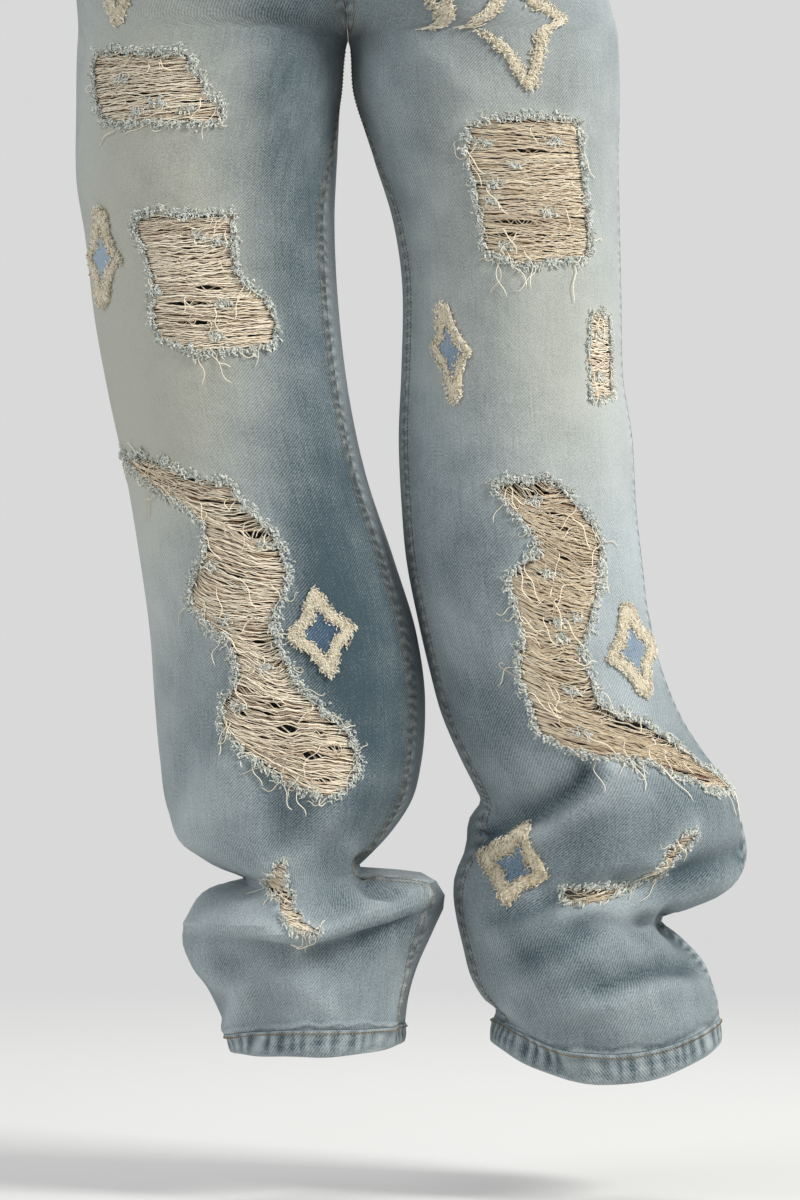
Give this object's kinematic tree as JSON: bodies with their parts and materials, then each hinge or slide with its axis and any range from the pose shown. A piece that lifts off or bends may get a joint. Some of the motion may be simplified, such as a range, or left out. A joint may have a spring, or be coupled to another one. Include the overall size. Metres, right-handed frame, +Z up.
{
  "type": "ripped wide-leg jeans in worn shape",
  "caption": "Wide-leg ripped jeans in their hollow worn shape: legs stacked at the ankle, laddered rips with frayed edges, frayed star patches, open waist and hems.",
  "frame": {"origin": "centre of the waist opening, at mid height of the waistband, where the wearer holds the jeans up", "axes": "+Z up, the fronts face -Y, +X is the wearer's left"},
  "size_m": [0.5017, 0.2648, 1.0309],
  "materials": {
    "washed_denim": "light washed twill denim",
    "patch_denim": "mid blue twill denim",
    "ecru_weft": "ecru cotton threads, loose and frayed",
    "frayed_denim": "pale frayed denim edge",
    "copper_button": "antique copper plated"
  },
  "bodies": {
    "root": {"back_left": "washed_denim", "back_pocket_left": "washed_denim", "back_pocket_right": "washed_denim", "back_right": "washed_denim", "belt_loop_1": "washed_denim", "belt_loop_2": "washed_denim", "belt_loop_3": "washed_denim", "belt_loop_4": "washed_denim", "belt_loop_5": "washed_denim", "button": "copper_button", "fly_flap": "washed_denim", "fray_left_knee": "frayed_denim", "fray_left_side": "frayed_denim", "fray_left_thigh": "frayed_denim", "fray_right_hip": "frayed_denim", "fray_right_knee": "frayed_denim", "fray_right_thigh": "frayed_denim", "front_left": "washed_denim", "front_right": "washed_denim", "hem_left": "washed_denim", "hem_right": "washed_denim", "pocket_facing_left": "washed_denim", "pocket_facing_right": "washed_denim", "star_border_left_ankle": "ecru_weft", "star_border_left_fly": "ecru_weft", "star_border_left_hip": "ecru_weft", "star_border_left_knee": "ecru_weft", "star_border_left_thigh": "ecru_weft", "star_border_right_hip": "ecru_weft", "star_border_right_knee": "ecru_weft", "star_border_right_side": "ecru_weft", "star_patch_left_ankle": "patch_denim", "star_patch_left_fly": "patch_denim", "star_patch_left_knee": "patch_denim", "star_patch_left_thigh": "patch_denim", "star_patch_right_hip": "patch_denim", "star_patch_right_knee": "patch_denim", "star_patch_right_side": "patch_denim", "waistband": "washed_denim", "weft_left_ankle": "ecru_weft", "weft_left_knee": "ecru_weft", "weft_left_shin": "ecru_weft", "weft_left_side": "ecru_weft", "weft_left_thigh": "ecru_weft", "weft_right_ankle": "ecru_weft", "weft_right_hip": "ecru_weft", "weft_right_knee": "ecru_weft", "weft_right_thigh": "ecru_weft", "yoke_left": "washed_denim", "yoke_right": "washed_denim"}
  },
  "joints": []
}
